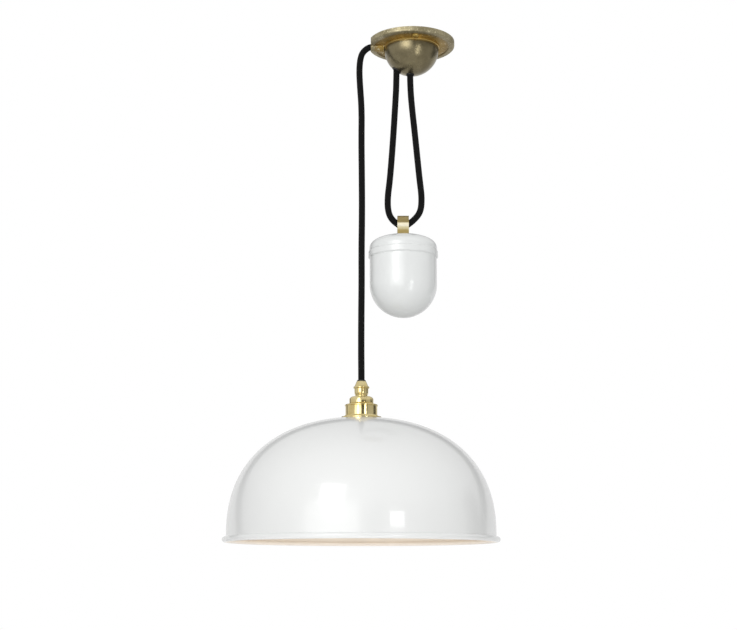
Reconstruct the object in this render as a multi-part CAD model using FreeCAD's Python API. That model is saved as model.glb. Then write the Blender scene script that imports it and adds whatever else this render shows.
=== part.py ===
"""Rise and fall pendant: a lamp head and a counterweight that hang from one length of braided flex.

The origin is the middle of the ceiling plate's top face, +Z is up and everything hangs below z = 0.
The flex starts at an anchor in the pulley bowl, hangs down and round the roller of the counterweight,
climbs back over the bowl's pulley, leaves through the outlet in the plate's side and drops to the
lamp head. Sizes are in millimetres.
"""
import FreeCAD, Part
import math
import os

V = FreeCAD.Vector
os.makedirs("parts", exist_ok=True)

# ---------------------------------------------------------------- driving dimensions
# flex
flex_d = 8.4
bight_right_x = 2.4        # the bight's last corners before it meets the roller, and their height
bight_left_x = -27.4
bight_low_z = -247.0
flex_fit = 0.15            # radial room of the flex in a bush, grommet or grip
running_gap = 0.3          # room between the flex and a wheel that turns under it
pin_running = 0.05         # radial running clearance of a wheel on its pin
seat_fit = 0.1             # radial room of a piece that seats in another

# ceiling plate
recess_width = 12.6        # from the bowl's collar to the rim
rim_width = 7.75
flat_depth = 2.75          # the rim is cut flat where the flex leaves
rim_low_z = -6.6           # outer edge of the rim's underside
rim_inner_z = -7.2         # its inner edge, beside the recess
rim_edge_round = 1.1
web_top = 3.2              # depth of the hollow back
web_thick = 2.8
web_skin = 0.8             # left under a blind screw hole in the web
outlet_axis_z = -6.1
boss_wall = 0.9            # of the round outlet boss about its bush
bush_wall = 1.3
bush_mouth = 1.0           # how much wider the bush is at its mouth
bush_mouth_depth = 5.0

# pulley bowl
bowl_r = 36.8
bowl_wall = 2.5
bowl_centre_z = -9.0
collar_proud = 0.6
spigot_depth = 2.6
spigot_wall = 1.5
bowl_screw_r = 1.0
bowl_screw_angles = (40.0, 140.0)

# bar on the ceiling that carries the plate
bar_end = 6.1              # of the bar beyond each plate screw
bar_width = 12.0
bar_thick = 1.6
bar_turn = 5.4             # degrees the bar and its screws are turned about the plate's axis
ceiling_hole_r = 2.4
ceiling_hole_pcd = 60.0
screw_room = 0.5           # between a plate screw's head and the bowl
plate_screw_r = 2.0
plate_screw_head_r = 5.0
plate_screw_head_h = 3.4

# pulley in the bowl
pulley_cord_r = 9.0        # from the axle to the middle of the flex
pulley_flange_r = 12.8
pulley_width = 11.8
axle_r = 2.0
cheek_thick = 1.5
cheek_gap = 1.0            # between the pulley's side and a cheek
cheek_half = 8.0
cheek_below = 5.5
foot_width = 10.0
foot_end = 3.2              # of a foot beyond its screw
foot_thick = 1.5
foot_screw_r = 1.5
foot_screw_room = 0.4      # of the screw's middle beyond the bowl's collar

# where the two falls of flex leave the bowl
free_fall_x = -2.1
fall_from_wall = 13.9      # of the clamped fall from the bowl's wall, at the bowl's middle
bowl_exit_z = -49.0        # where the falls' own nodes start, just under the grommets
bight_z = -192.0           # where the counterweight's bight starts
grommet_wall = 1.2
grommet_lip = 1.2
grommet_lip_thick = 1.2
grommet_proud = 1.0

# anchor and terminals in the bowl
anchor_below = 1.4         # of the anchor's top under the pulley
anchor_width = 12.8
anchor_length = 18.0
anchor_screw_r = 1.5
block_length = 18.0
block_depth = 8.0
block_height = 10.0
block_top_z = -9.5
pole_pitch = 6.0
pole_bore_r = 1.1
terminal_screw_r = 1.4
core_r = 0.7
core_spread = 1.9

# counterweight
weight_x = -12.6
weight_r = 43.9
weight_wall = 2.5
weight_centre_z = -334.0   # middle of the round bottom
weight_rim_z = -288.3
lid_top_z = -269.2
lid_power = 2.4            # of the superellipse that flattens the lid's crown
lid_shoulder_z = -286.8
lid_wall = 2.0
band_r = 45.6
band_top_z = -289.3
band_bottom_z = -299.3
band_round = 1.6
ballast_r = 41.1
ballast_height = 43.9      # of the straight part above the round bottom
rod_r = 3.0
nut_r = 5.5
nut_h = 5.0
nut_pocket = 24.0          # from the middle of the round bottom down to the lower nut's seat
hanger_r = 12.0
hanger_thick = 4.0

# strap and roller on the counterweight
strap_width = 15.0
strap_thick = 1.4
strap_half = 6.7           # half its outside width across the flex
strap_top_z = -242.3
strap_corner = 3.4
roller_r = 2.9
roller_width = 9.4
roller_flange_r = 4.8
roller_pin_r = 1.5
roller_room = 0.5          # between the roller's top and the strap

# lamp head
head_x = -67.2
shade_d = 350.0            # over the rolled edge
bead_proud = 5.0           # of the rolled edge beyond the wall at its foot
shade_wall = 0.8
shade_height = 146.0       # of the superellipse that gives the dome its full shoulders
shade_power = 2.3
shade_flat_r = 26.4        # flat seat on the dome's top
bead_r = 3.5
bead_drop = 7.7            # of the rolled edge's middle below the foot of the dome
rim_wire_r = 2.5
grip_top_z = -461.9
grommet_top_z = -460.2
grip_split_z = -471.3
cap_top_z = -481.6
cap_r = 15.6
cap_bottom_z = -490.0
brim_z = -493.2
brim_proud = 0.8           # of the cap's brim beyond the skirt
skirt_r = 20.5
skirt_bottom_z = -506.0
metal = 1.0                # thickness of the spun brass cap and skirt
neck_r = 18.6              # the threaded neck that goes through the shade
neck_wall = 1.4
holder_bottom_z = -549.0
ring_r = 26.4
ring_height = 4.38
ring_thick = 3.0           # of the ring's flange
nut_ring_r = 24.5
nut_ring_h = 6.0
spigot_r = 5.2
socket_r = 13.3            # inside radius of the lamp's threaded shell
socket_wall = 0.6
socket_length = 24.0
shell_inset = 1.5          # of the shell's mouth above the neck's end
post_r = 1.5
post_x = 7.0               # of each contact post from the holder's axis
contact_well = 3.0         # depth of the well in the core's floor for the centre contact

# ---------------------------------------------------------------- sizes that follow
flex_r = flex_d / 2
bore_r = flex_r + flex_fit
boss_r = bore_r + bush_wall + boss_wall
outlet_depth = boss_r - outlet_axis_z
web_bottom = web_top + web_thick
pulley_x = free_fall_x - pulley_cord_r
pulley_z = outlet_axis_z - pulley_cord_r
groove_r = flex_r + running_gap
collar_r = bowl_r + collar_proud
bowl_inner_r = bowl_r - bowl_wall
spigot_outer = collar_r - bowl_wall
rim_inner_r = collar_r + recess_width
plate_r = rim_inner_r + rim_width
plate_flat_x = plate_r - flat_depth
plate_screw_pcd = 2 * (collar_r + screw_room + plate_screw_head_r)
bar_length = plate_screw_pcd + 2 * bar_end
foot_screw_y = collar_r + foot_screw_room
foot_reach = foot_screw_y + foot_end
fixed_fall_x = fall_from_wall - bowl_inner_r
anchor_top_z = pulley_z - pulley_flange_r - anchor_below
outlet_end_x = -plate_flat_x - 0.6
cheek_y = pulley_width / 2 + cheek_gap
cheek_out = cheek_y + cheek_thick
strap_x = weight_x
roller_z = strap_top_z - strap_thick - roller_room - roller_flange_r
wrap_r = roller_r + running_gap + flex_r
bead_centre_r = shade_d / 2 - bead_r
shade_r = shade_d / 2 - bead_proud
shade_top_z = skirt_bottom_z - ring_height
shade_base_z = shade_top_z - shade_height * (
    1 - (shade_flat_r / shade_r) ** shade_power) ** (1 / shade_power)
bead_z = shade_base_z - bead_drop
far = 1000.0               # beyond anything in the model

nodes = {}


def keep(name, shape):
    """Files a finished piece under its node name."""
    nodes[name] = shape


# ---------------------------------------------------------------- shapes in use all over
def rod(radius, start, end):
    """A round bar between two points."""
    a, b = V(*start), V(*end)
    return Part.makeCylinder(radius, a.distanceToPoint(b), a, b - a)


def disc(radius, z_top, z_bottom, x=0.0, y=0.0):
    return rod(radius, (x, y, z_bottom), (x, y, z_top))


def ring(outer, inner, z_top, z_bottom, x=0.0, y=0.0):
    return disc(outer, z_top, z_bottom, x, y).cut(disc(inner, z_top + 1, z_bottom - 1, x, y))


def block(x, y, z):
    """A box from three (low, high) pairs."""
    return Part.makeBox(x[1] - x[0], y[1] - y[0], z[1] - z[0], V(x[0], y[0], z[0]))


def ball(radius, centre):
    return Part.makeSphere(radius, V(*centre))


def turned(steps, x=0.0):
    """A solid of revolution about the vertical through x. A step is (r, z), or (r, z, rm, zm),
    which is reached along an arc through (rm, zm)."""
    edges = []
    last = steps[-1][:2]
    for step in steps:
        here, there = V(x + last[0], 0, last[1]), V(x + step[0], 0, step[1])
        if len(step) == 4:
            edges.append(Part.Arc(here, V(x + step[2], 0, step[3]), there).toShape())
        elif here.distanceToPoint(there) > 1e-6:
            edges.append(Part.LineSegment(here, there).toShape())
        last = step[:2]
    face = Part.Face(Part.Wire(edges))
    return face.revolve(V(x, 0, 0), V(0, 0, 1), 360)


def quarter(r0, z0, r1, z1):
    """An arc step from (r0, z0) to (r1, z1) that starts level and ends upright, or a near copy."""
    half = math.sqrt(0.5)
    return (r1, z1, r0 + (r1 - r0) * half, z1 + (z0 - z1) * half)


def swing(shape, degrees):
    """A copy turned about the plate's axis."""
    turned_copy = shape.copy()
    turned_copy.rotate(V(0, 0, 0), V(0, 0, 1), degrees)
    return turned_copy


def pair(shape):
    """The shape and its twin half a turn round the plate."""
    return Part.makeCompound([shape, swing(shape, 180)])


# ---------------------------------------------------------------- ceiling plate and what holds it
def ceiling_plate():
    """A cast dish with a hollow back, a round opening for the bowl and an outlet boss."""
    edge = rim_edge_round
    dish = turned([
        (rim_inner_r, 0),
        (plate_r, 0),
        (plate_r, rim_low_z + edge),
        (plate_r - edge, rim_low_z, plate_r - 0.3 * edge, rim_low_z + 0.3 * edge),
        (rim_inner_r + edge, rim_inner_z),
        (rim_inner_r, rim_inner_z + edge, rim_inner_r + 0.3 * edge, rim_inner_z + 0.3 * edge),
        (rim_inner_r, -web_bottom),
        (spigot_outer - seat_fit, -web_bottom),
        (spigot_outer - seat_fit, -web_bottom - spigot_depth),
        (spigot_outer - spigot_wall, -web_bottom - spigot_depth),
        (spigot_outer - spigot_wall, -web_top),
        (rim_inner_r, -web_top),
    ])
    along = (-plate_r, 1 - spigot_outer)
    boss = rod(boss_r, (along[0], 0, outlet_axis_z), (along[1], 0, outlet_axis_z))
    boss = boss.fuse(block(along, (-boss_r, boss_r), (outlet_axis_z, 0)))
    body = dish.fuse(boss.common(block(along, (-boss_r - 1, boss_r + 1), (-outlet_depth - 1, 0))))
    body = body.cut(disc(spigot_outer - spigot_wall, 1, -outlet_depth - 1))
    body = body.cut(block((-plate_r - 1, -plate_flat_x), (-plate_r, plate_r), (-outlet_depth - 1, 1)))
    body = body.cut([bowl_seat(), outlet_bore(bore_r + bush_wall)])
    tapped = plate_screw(plate_screw_r + seat_fit)
    body = body.cut([tapped, swing(tapped, 180)] + mirrored(foot_screw(foot_screw_r)))
    return body.cut([bowl_screw(a) for a in bowl_screw_angles]).removeSplitter()


def bowl_seat():
    """Room for the bowl: a ring round the spigot and all that lies lower than the spigot."""
    outer = collar_r + seat_fit
    low = -outlet_depth - 1
    beside = ring(outer, spigot_outer - seat_fit, -web_bottom, low)
    return beside.fuse(disc(outer, -web_bottom - spigot_depth, low))


def outlet_bore(radius):
    """The bore in the plate's side, from outside the flat to inside the bowl."""
    return rod(radius, (-plate_flat_x - 5, 0, outlet_axis_z), (-bowl_inner_r + 4, 0, outlet_axis_z))


def plate_screw(radius):
    """The shank of one screw that goes up through the web into the bar."""
    return swing(disc(radius, -0.1, -web_bottom - 0.2, 0, -plate_screw_pcd / 2), bar_turn)


def plate_screws():
    """Two domed screws, heads below the web."""
    y = -plate_screw_pcd / 2
    low = -web_bottom - plate_screw_head_h
    edge = -web_bottom - 0.4
    crown = (0, low, plate_screw_head_r * 0.66, low + 0.55)
    dome = turned([(0, -web_bottom), (plate_screw_head_r, -web_bottom), (plate_screw_head_r, edge), crown])
    dome.translate(V(0, y, 0))
    slot = block((-0.5, 0.5), (y - 5, y + 5), (low - 1, low + 0.8))
    return pair(swing(dome, bar_turn).fuse(plate_screw(plate_screw_r)).cut(swing(slot, bar_turn)))


def mounting_bar():
    """The steel bar on the ceiling, with two holes for its own screws and two tapped ends."""
    bar = block((-bar_width / 2, bar_width / 2), (-bar_length / 2, bar_length / 2), (-bar_thick, 0))
    upright = [e for e in bar.Edges if abs(e.BoundBox.ZLength - bar_thick) < 0.01]
    bar = bar.makeFillet(bar_width / 3, upright)
    for side in (-1, 1):
        bar = bar.cut(disc(ceiling_hole_r, 1, -bar_thick - 1, 0, side * ceiling_hole_pcd / 2))
    bar = swing(bar, bar_turn)
    tapped = plate_screw(plate_screw_r + pin_running)
    return bar.cut([tapped, swing(tapped, 180)])


# ---------------------------------------------------------------- pulley bowl
def pulley_bowl():
    """A round bowl under the plate; its collar slips over the plate's spigot."""
    top = -web_bottom - 0.1
    seat_z = -web_bottom - spigot_depth - 0.2
    inner_low = bowl_centre_z - bowl_inner_r
    shell = turned([
        (collar_r, top),
        (collar_r, bowl_centre_z + 0.6),
        (bowl_r, bowl_centre_z),
        (0, bowl_centre_z - bowl_r, bowl_r * 0.7071, bowl_centre_z - bowl_r * 0.7071),
        (0, inner_low),
        (bowl_inner_r, bowl_centre_z, bowl_inner_r * 0.7071, bowl_centre_z - bowl_inner_r * 0.7071),
        (bowl_inner_r, seat_z),
        (spigot_outer, seat_z),
        (spigot_outer, top),
    ])
    low = bowl_centre_z - bowl_r - 2
    holes = [disc(bore_r + grommet_wall, bowl_centre_z, low, x) for x in (free_fall_x, fixed_fall_x)]
    return shell.cut(holes + [outlet_bore(bore_r + bush_wall)] + [bowl_screw(a) for a in bowl_screw_angles])


def bowl_screw(angle):
    """One grub screw through the collar into the spigot, at an angle round the plate."""
    z = -web_bottom - spigot_depth / 2
    return swing(rod(bowl_screw_r, (spigot_outer - spigot_wall, 0, z), (collar_r - 0.2, 0, z)), angle)


def bowl_surface_z(x, radius):
    """Height of a sphere about the bowl's centre, below the plane y = 0."""
    return bowl_centre_z - math.sqrt(radius ** 2 - x ** 2)


def grommet(x):
    """A bush in one of the bowl's holes, a little proud outside and with a lip inside."""
    centre = (0, 0, bowl_centre_z)
    low = bowl_surface_z(x, bowl_r) - 6
    outer = bore_r + grommet_wall
    sleeve = disc(outer - 0.05, bowl_centre_z - 8, low, x).common(ball(bowl_r + grommet_proud, centre))
    lip = disc(outer + grommet_lip, bowl_centre_z - 8, low, x).common(ball(bowl_inner_r, centre))
    inside = ball(bowl_inner_r - grommet_lip_thick, centre)
    return sleeve.fuse(lip).cut([inside, disc(bore_r, 0, -70, x)]).removeSplitter()


# ---------------------------------------------------------------- pulley, axle and bracket
def wheel(centre, cord_radius, flange, width, hole):
    """A grooved wheel with its axis along Y."""
    x, z = centre
    body = rod(flange, (x, -width / 2, z), (x, width / 2, z))
    body = body.makeFillet(0.5, [e for e in body.Edges if e.Length > 6 * flange])
    groove = Part.makeTorus(cord_radius, groove_r, V(x, 0, z), V(0, 1, 0))
    mouth = rod(flange + 1, (x, -groove_r, z), (x, groove_r, z)).cut(
        rod(cord_radius, (x, -groove_r, z), (x, groove_r, z)))
    return body.cut([groove, mouth, rod(hole, (x, -width, z), (x, width, z))])


def mirrored(shape):
    """The shape and its mirror image across the plane of the flex."""
    return [shape, shape.mirror(V(0, 0, 0), V(0, 1, 0))]


def foot_screw(radius):
    return disc(radius, -web_top + foot_thick - 0.2, -web_bottom + web_skin, foot_x(), foot_screw_y)


def foot_x():
    """Middle of the bracket's feet, clear of the bar."""
    return pulley_x - cheek_half + foot_width / 2 - 2.0


def pulley_bracket():
    """Two cheeks that hang through the plate's opening from feet on the back of the web."""
    foot_top = -web_top + foot_thick
    x0 = foot_x() - foot_width / 2
    span = (pulley_z - cheek_below, -web_top - 0.4)
    cheek = block((x0, pulley_x + cheek_half), (cheek_y, cheek_out), span)
    riser = block((x0, x0 + foot_width), (cheek_y, cheek_out), (-web_top - 0.5, foot_top))
    foot = block((x0, x0 + foot_width), (cheek_y, foot_reach), (-web_top, foot_top))
    side = cheek.fuse([riser, foot]).removeSplitter()
    axle_hole = rod(axle_r, (pulley_x, 0, pulley_z), (pulley_x, 30, pulley_z))
    return Part.makeCompound(mirrored(side.cut([foot_screw(foot_screw_r), axle_hole])))


def pulley_axle():
    return rod(axle_r, (pulley_x, -cheek_out, pulley_z), (pulley_x, cheek_out, pulley_z))


def outlet_bush():
    """A bush in the outlet, flush with the flat and flared at its mouth where the flex turns down."""
    face = -plate_flat_x
    sleeve = rod(bore_r + bush_wall - 0.05, (face, 0, outlet_axis_z), (-collar_r + 1, 0, outlet_axis_z))
    bore = rod(bore_r, (face - 1, 0, outlet_axis_z), (0, 0, outlet_axis_z))
    start = V(face, 0, outlet_axis_z)
    mouth = Part.makeCone(bore_r + bush_mouth, bore_r, bush_mouth_depth, start, V(1, 0, 0))
    return sleeve.cut([bore, mouth])


# ---------------------------------------------------------------- anchor and terminals
def cord_anchor():
    """A block on the bowl's wall that grips the fixed end of the flex."""
    x = (fixed_fall_x - anchor_width / 2 - 2.2, fixed_fall_x + anchor_width / 2 - 2.2)
    body = block(x, (-anchor_length / 2, anchor_length / 2), (-45, anchor_top_z))
    body = body.common(ball(bowl_inner_r - seat_fit, (0, 0, bowl_centre_z)))
    return body.cut([disc(flex_r + 0.03, 0, -60, fixed_fall_x), anchor_screw(), lip_room()])


def lip_room():
    """Room under the anchor for the inner lip of the left grommet."""
    column = disc(bore_r + grommet_wall + grommet_lip + seat_fit, 0, -60, fixed_fall_x)
    return column.cut(ball(bowl_inner_r - grommet_lip_thick - seat_fit, (0, 0, bowl_centre_z)))


def anchor_screw():
    x, z = fixed_fall_x, anchor_top_z - 2.4
    return rod(anchor_screw_r, (x, -anchor_length / 2 + 0.3, z), (x, -flex_r - 0.05, z))


def pole_x(index):
    return pulley_x + (index - 1) * pole_pitch


def terminal_block():
    """A three pole block screwed to the far cheek."""
    half = block_length / 2
    low = block_top_z - block_height
    back = cheek_out + block_depth
    body = block((pulley_x - half, pulley_x + half), (cheek_out, back), (low, block_top_z))
    body = body.makeFillet(0.8, [e for e in body.Edges if e.CenterOfMass.y > back - 0.1])
    y = cheek_out + block_depth / 2
    bores = [disc(pole_bore_r, block_top_z + 1, low - 1, pole_x(i), y) for i in range(3)]
    return body.cut(bores + [terminal_screw(i) for i in range(3)])


def terminal_screw(index):
    y = cheek_out + block_depth
    z = block_top_z - block_height / 2
    return rod(terminal_screw_r, (pole_x(index), y - 2.6, z), (pole_x(index), y - 0.3, z))


# ---------------------------------------------------------------- flex: straight runs and tangent arcs
def route(points, fixed=None):
    """A wire of straight runs joined by tangent arcs, and its smallest radius. fixed gives the
    radius at points where the flex goes round a wheel."""
    fixed = fixed or {}
    pts = [V(*p) for p in points]
    edges, last, radii = [], pts[0], []
    for i in range(1, len(pts) - 1):
        before, here, after = pts[i - 1], pts[i], pts[i + 1]
        way_in, way_out = here - before, after - here
        half_turn = way_in.getAngle(way_out) / 2
        radius = fixed.get(i, 0.45 * min(way_in.Length, way_out.Length) / math.tan(half_turn))
        reach = radius * math.tan(half_turn)
        start = here - V(way_in).normalize() * reach
        end = here + V(way_out).normalize() * reach
        inward = (V(way_out).normalize() - V(way_in).normalize()).normalize()
        centre = here + inward * (radius / math.cos(half_turn))
        if last.distanceToPoint(start) > 1e-4:
            edges.append(Part.LineSegment(last, start).toShape())
        edges.append(Part.Arc(start, centre - inward * radius, end).toShape())
        radii.append(radius)
        last = end
    edges.append(Part.LineSegment(last, pts[-1]).toShape())
    return Part.Wire(edges), radii


def tube(points, radius, fixed=None, name=""):
    """A round tube along a route."""
    spine, radii = route(points, fixed)
    way = V(*points[1]) - V(*points[0])
    section = Part.Wire([Part.Circle(V(*points[0]), way, radius).toShape()])
    solid = spine.makePipeShell([section], True, False)
    ratio = solid.Volume / (math.pi * radius ** 2 * spine.Length)
    print(name, "length %.1f" % spine.Length, "volume / (section x length) %.4f" % ratio)
    print("   radii", " ".join("%.0f" % r for r in radii))
    return solid


def roller_corner(point):
    """Where the line from a point that touches the underside of the roller's wrap meets the level
    line that touches it from below."""
    across, down = strap_x - point[0], point[1] - roller_z
    slope = math.atan2(down, abs(across)) + math.asin(wrap_r / math.hypot(across, down))
    step = wrap_r * math.tan(slope / 2)
    return (strap_x - math.copysign(step, across), roller_z - wrap_r)


def loop_route():
    """The two falls and the bight round the roller, from the anchor to the pulley."""
    left = [(fixed_fall_x, anchor_top_z), (fixed_fall_x - 0.1, -58), (-22.4, -90), (-24.6, -126),
            (-27.2, -162), (-29.9, -194), (-32.9, -217), (-32.4, -235.5), (bight_left_x, bight_low_z)]
    right = [(bight_right_x, bight_low_z), (11.0, -235.5), (12.4, -216), (9.6, -192), (6.8, -162),
             (3.5, -126), (-0.7, -84), (free_fall_x, -58)]
    chamfer = pulley_cord_r * math.tan(math.radians(22.5))
    over = [(free_fall_x, pulley_z + chamfer), (pulley_x + chamfer, outlet_axis_z)]
    return left, [roller_corner(left[-1]), roller_corner(right[0])], right, over


def drop_route():
    """From over the pulley to the lamp head."""
    return [(-57.0, outlet_axis_z), (-65.8, -13.2), (-69.3, -23.5), (-70.5, -40.0), (-69.5, -61),
            (-67.1, -95), (-67.5, -139), (-66.9, -189), (-66.6, -237), (-67.2, -285), (-67.0, -331),
            (-67.4, -377), (-67.5, -421), (head_x, -452), (head_x, cap_top_z - 3.0)]


def whole_flex():
    """The flex in one piece, in the plane y = 0."""
    left, bottom, right, over = loop_route()
    points = left + bottom + right + over + drop_route()
    low, high = len(left), len(left + bottom + right)
    fixed = {low: wrap_r, low + 1: wrap_r, high: pulley_cord_r, high + 1: pulley_cord_r}
    print("route", " ".join("(%.2f, %.2f)" % p for p in points))
    return tube([(x, 0, z) for x, z in points], flex_r, fixed, "flex")


def flex_nodes():
    """Cuts the flex where it meets the bowl, the counterweight's bight, the outlet and the grip."""
    whole = whole_flex()
    thick = (-flex_d, flex_d)
    mid = (fixed_fall_x + free_fall_x) / 2
    left, right, loop, drop = (outlet_end_x, mid), (mid, far), (outlet_end_x, far), (-far, outlet_end_x)
    spans = {
        "anchored_flex": (left, (bowl_exit_z, pulley_z)),
        "left_fall": (left, (bight_z, bowl_exit_z)),
        "weight_bight": (loop, (-far, bight_z)),
        "right_fall": (right, (bight_z, bowl_exit_z)),
        "drop_flex": (drop, (grommet_top_z, far)),
        "gripped_flex": (drop, (-far, grommet_top_z)),
    }
    for name, (x, z) in spans.items():
        keep(name, whole.common(block(x, thick, z)))
    over = block(loop, thick, (pulley_z, far)).fuse(block(right, thick, (bowl_exit_z, pulley_z)))
    keep("pulley_flex", whole.common(over))


def core(index):
    """One insulated core, from the stripped end of the flex to its pole."""
    start_x = fixed_fall_x + (-core_spread, 0.0, core_spread)[index] * 0.9
    start_y = (-1.0, 1.6, -1.0)[index]
    y = cheek_out + block_depth / 2
    low = block_top_z - block_height
    turn_x = (-22.4, -20.3, -18.3)[index]
    points = [(start_x, start_y, anchor_top_z), (start_x, start_y, anchor_top_z + 1.6),
              (turn_x, cheek_out + 0.4, anchor_top_z + 2.0), (pole_x(index) - 1.0, y - 0.6, low - 5.0),
              (pole_x(index), y, low - 1.5), (pole_x(index), y, low + 3.0)]
    return tube(points, core_r, None, "core")


# ---------------------------------------------------------------- counterweight
def round_bottomed(radius, z_top):
    """A cylinder on the counterweight's axis that ends in a half ball."""
    centre = V(weight_x, 0, weight_centre_z)
    half_ball = Part.makeSphere(radius, centre, V(0, 0, 1), -90, 0, 360)
    return disc(radius, z_top, weight_centre_z, weight_x).fuse(half_ball).removeSplitter()


def weight_body():
    """A round bottomed can, open at the top under the lid."""
    hollow = round_bottomed(weight_r - weight_wall, weight_rim_z + 1)
    return round_bottomed(weight_r, weight_rim_z).cut(hollow)


def dome(radius, shoulder_z, height, steps=11):
    """Points of the lid's superellipse from its shoulder to the axis."""
    turns = [math.pi / 2 * i / (steps - 1) for i in range(steps)]
    power = 2 / lid_power
    return [(radius * max(math.cos(t), 0.0) ** power if i < steps - 1 else 0.0,
             shoulder_z + height * math.sin(t) ** power) for i, t in enumerate(turns)]


def domed(outer, inner, foot, x):
    """A solid of revolution between two curves to the axis. foot is the outline below them, from the
    end of the inner curve to the start of the outer one."""
    def smooth(points):
        curve = Part.BSplineCurve()
        curve.interpolate([V(x + r, 0, z) for r, z in points])
        return curve.toShape()

    rise = [inner[0]] + foot + [outer[0]]
    crown = [outer[-1], (0.0, outer[-1][1]), (0.0, inner[-1][1]), inner[-1]]
    edges = [smooth(outer), smooth(inner)]
    lines = list(zip(rise, rise[1:])) + list(zip(crown, crown[1:]))
    for a, b in [line for line in lines if math.dist(line[0], line[1]) > 1e-6]:
        edges.append(Part.LineSegment(V(x + a[0], 0, a[1]), V(x + b[0], 0, b[1])).toShape())
    face = Part.Face(Part.Wire(Part.__sortEdges__(edges)))
    return face.revolve(V(x, 0, 0), V(0, 0, 1), 360)


def weight_lid():
    """A domed lid whose band slips over the can, with two slots for the strap's legs."""
    outer_r = weight_r + 0.5
    inner_r = weight_r + seat_fit
    height = lid_top_z - lid_shoulder_z
    foot = [(inner_r, band_bottom_z), (band_r - band_round, band_bottom_z),
            (band_r, band_bottom_z + band_round), (band_r, band_top_z - band_round), (outer_r, band_top_z)]
    inner = dome(inner_r - 0.6, lid_shoulder_z - lid_wall, height)
    inner_foot = [(inner_r - 0.6, weight_rim_z + 0.1), (inner_r, weight_rim_z + 0.1)]
    lid = domed(dome(outer_r, lid_shoulder_z, height), inner, inner_foot + foot, weight_x)
    return lid.cut(strap_blank(0.15))


def strap_blank(room):
    """The two legs of the strap, grown by a clearance, to cut the lid with."""
    x = (strap_x - strap_width / 2 - room, strap_x + strap_width / 2 + room)
    y = (strap_half - strap_thick - room, strap_half + room)
    leg = block(x, y, (hanger_low() - room, strap_top_z - 10))
    return Part.makeCompound(mirrored(leg))


def hanger_top():
    """The hanger block's top, just under the lid's dome."""
    return lid_top_z - lid_wall - 1.4


def hanger_low():
    return hanger_top() - hanger_thick


def weight_strap():
    """A brass band bent over the roller, with its legs down through the lid."""
    x = (strap_x - strap_width / 2, strap_x + strap_width / 2)
    outer = block(x, (-strap_half, strap_half), (hanger_low(), strap_top_z))
    outer = outer.makeFillet(strap_corner, [
        e for e in outer.Edges if abs(e.CenterOfMass.z - strap_top_z) < 0.1
        and abs(e.BoundBox.XLength - strap_width) < 0.1])
    half = strap_half - strap_thick
    inner_x = (x[0] - 1, x[1] + 1)
    inner = block(inner_x, (-half, half), (hanger_low() - 1, strap_top_z - strap_thick))
    inner = inner.makeFillet(strap_corner - strap_thick, [
        e for e in inner.Edges if abs(e.CenterOfMass.z - strap_top_z + strap_thick) < 0.1
        and e.BoundBox.XLength > strap_width])
    return outer.cut([inner, roller_pin()])


def roller_pin():
    """The roller's pin, staked in blind holes in the strap."""
    half = strap_half - strap_thick / 3
    return rod(roller_pin_r, (strap_x, -half, roller_z), (strap_x, half, roller_z))


def strap_roller():
    """A small grooved roller between the strap's sides."""
    return wheel((strap_x, roller_z), wrap_r, roller_flange_r, roller_width, roller_pin_r + pin_running)


def strap_hanger():
    """A round block under the lid that the strap's legs are riveted to and the rod screws into."""
    body = disc(hanger_r, hanger_top(), hanger_low(), strap_x)
    return body.cut([strap_blank(0.0), disc(rod_r, 0, -far, strap_x)])


def ballast_top_z():
    return weight_centre_z + ballast_height


def ballast():
    """A cast iron slug that fills the round bottom of the can."""
    body = round_bottomed(ballast_r, ballast_top_z())
    low = weight_centre_z - nut_pocket
    return body.cut([disc(rod_r + 0.2, 0, -far, strap_x), disc(nut_r + 1.5, low, -far, strap_x)])


def draw_rod():
    return disc(rod_r, hanger_top(), weight_centre_z - nut_pocket - nut_h - 1.5, strap_x)


def hexagon(across, z_top, z_bottom, x):
    """A hexagonal prism, by its corner radius."""
    turns = [math.radians(60 * i) for i in range(7)]
    corners = [V(x + across * math.cos(t), across * math.sin(t), z_bottom) for t in turns]
    return Part.Face(Part.makePolygon(corners)).extrude(V(0, 0, z_top - z_bottom))


def rod_nuts():
    """A nut above and a nut below the ballast."""
    low = weight_centre_z - nut_pocket
    top = ballast_top_z()
    hole = disc(rod_r, 0, -far, strap_x)
    return Part.makeCompound([hexagon(nut_r, low, low - nut_h, strap_x).cut(hole),
                              hexagon(nut_r, top + nut_h, top, strap_x).cut(hole)])


# ---------------------------------------------------------------- lamp head
def shade_curve(inset, steps=12):
    """Points of the dome's superellipse from its foot to the edge of the flat seat on its top."""
    radius = shade_r - inset
    height = shade_height - inset
    last = math.acos((shade_flat_r / radius) ** (shade_power / 2))
    turns = [last * i / (steps - 1) for i in range(steps)]
    power = 2 / shade_power
    return [(radius * math.cos(t) ** power, shade_base_z + height * math.sin(t) ** power) for t in turns]


def shade():
    """A spun dome with a hole for the holder's neck and its edge rolled over a wire."""
    foot = [(shade_r - shade_wall, bead_z), (shade_r, bead_z)]
    body = domed(shade_curve(0.0), shade_curve(shade_wall), foot, head_x)
    bead = Part.makeTorus(bead_centre_r, bead_r, V(head_x, 0, bead_z))
    hollow = Part.makeTorus(bead_centre_r, rim_wire_r + seat_fit, V(head_x, 0, bead_z))
    neck_hole = disc(neck_r + seat_fit, 0, shade_top_z - 20, head_x)
    return body.fuse(bead).cut([hollow, neck_hole])


def rim_wire():
    return Part.makeTorus(bead_centre_r, rim_wire_r, V(head_x, 0, bead_z))


def grip_grommet():
    """The black insert at the mouth of the cord grip."""
    low = grip_top_z - 6
    return turned([
        (bore_r, grommet_top_z),
        (5.3, grommet_top_z),
        (5.9, grommet_top_z - 0.9),
        (5.9, grip_top_z),
        (5.1, grip_top_z),
        (5.1, low),
        (bore_r, low),
    ], head_x)


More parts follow.
